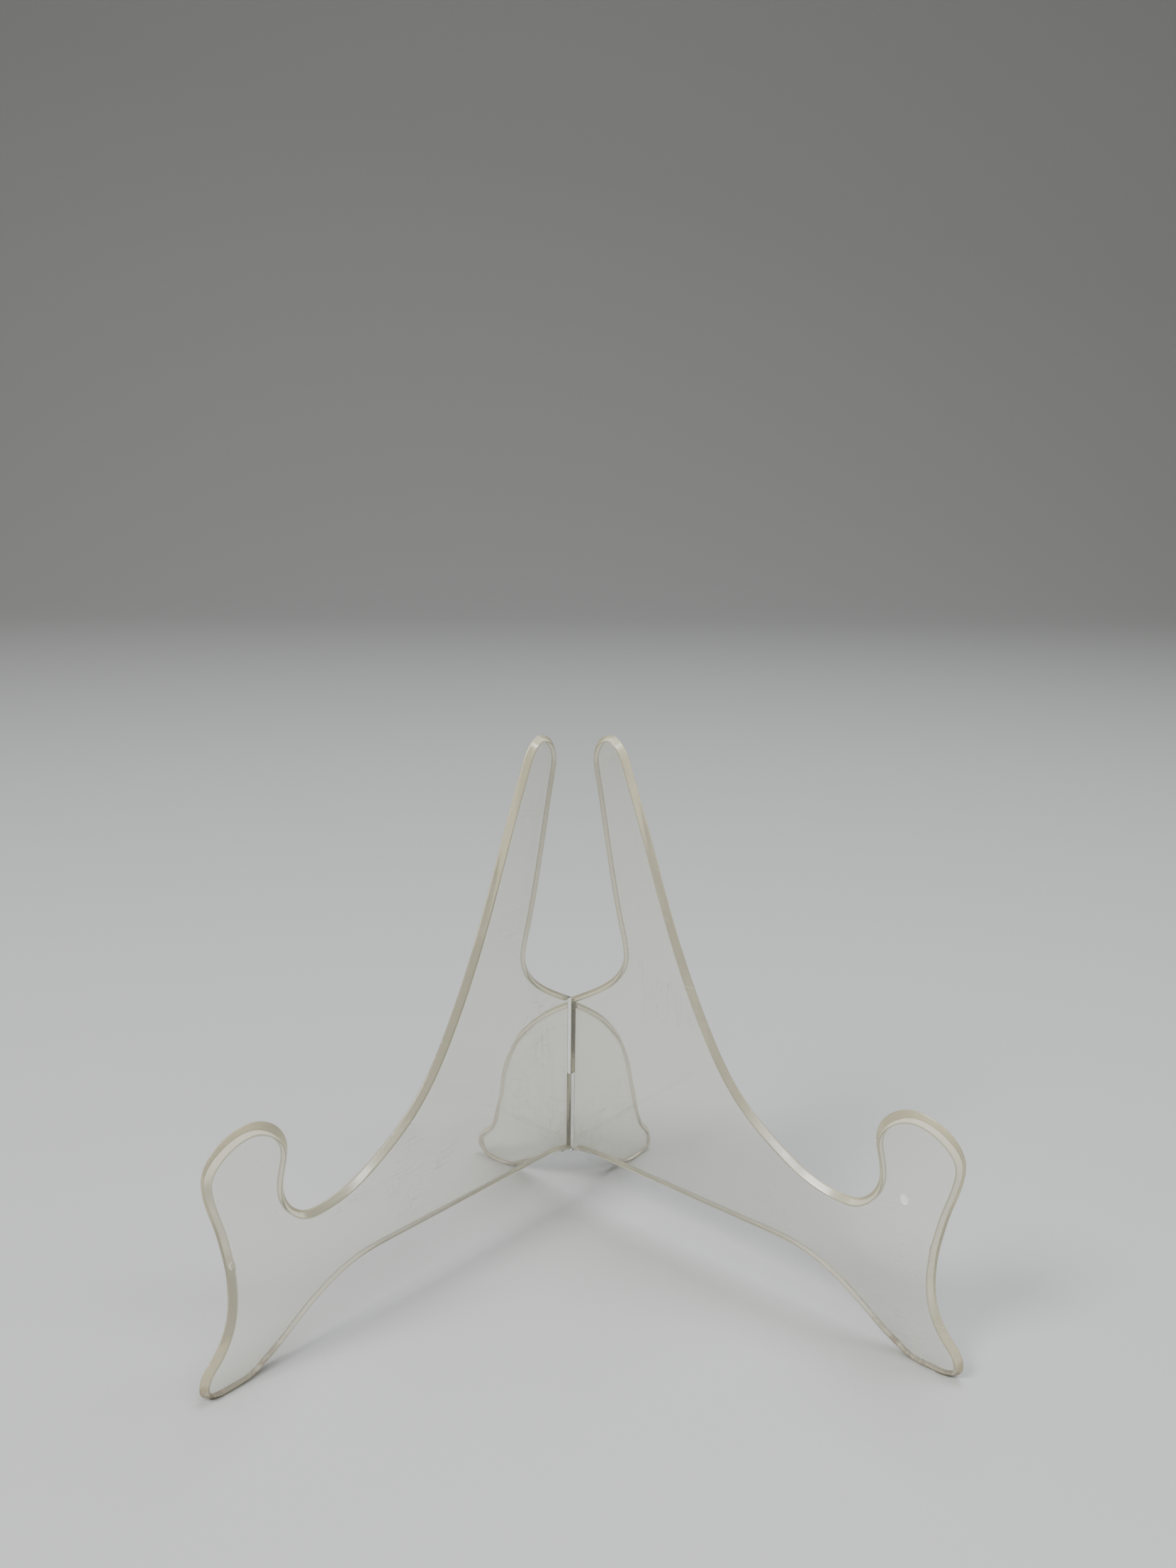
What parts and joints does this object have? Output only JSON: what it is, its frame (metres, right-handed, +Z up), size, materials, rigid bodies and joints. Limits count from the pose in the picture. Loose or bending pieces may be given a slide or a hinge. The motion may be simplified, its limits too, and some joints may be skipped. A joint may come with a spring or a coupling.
{
  "type": "plate display stand",
  "caption": "Clear plastic display stand: crossed panels slotted into an X, with curled front hooks and leaning back arms that hold a plate upright.",
  "frame": {"origin": "on the table, at the middle of the stand's footprint", "axes": "+Z up, +X to the right of a viewer who faces the plate, +Y from the hooks to the back; the panels run at 45 degrees to X and Y"},
  "size_m": [0.1818, 0.1204, 0.142],
  "materials": {
    "clear_plastic": "clear moulded polystyrene, glossy, slightly yellowed"
  },
  "bodies": {
    "left_panel": {"left_panel": "clear_plastic"},
    "right_panel": {"right_panel": "clear_plastic"}
  },
  "joints": [
    {"name": "right_panel_lift", "type": "slide", "parent": "left_panel", "child": "right_panel", "axis": [0, 0, 1], "range_m": [0, 0.16]}
  ]
}
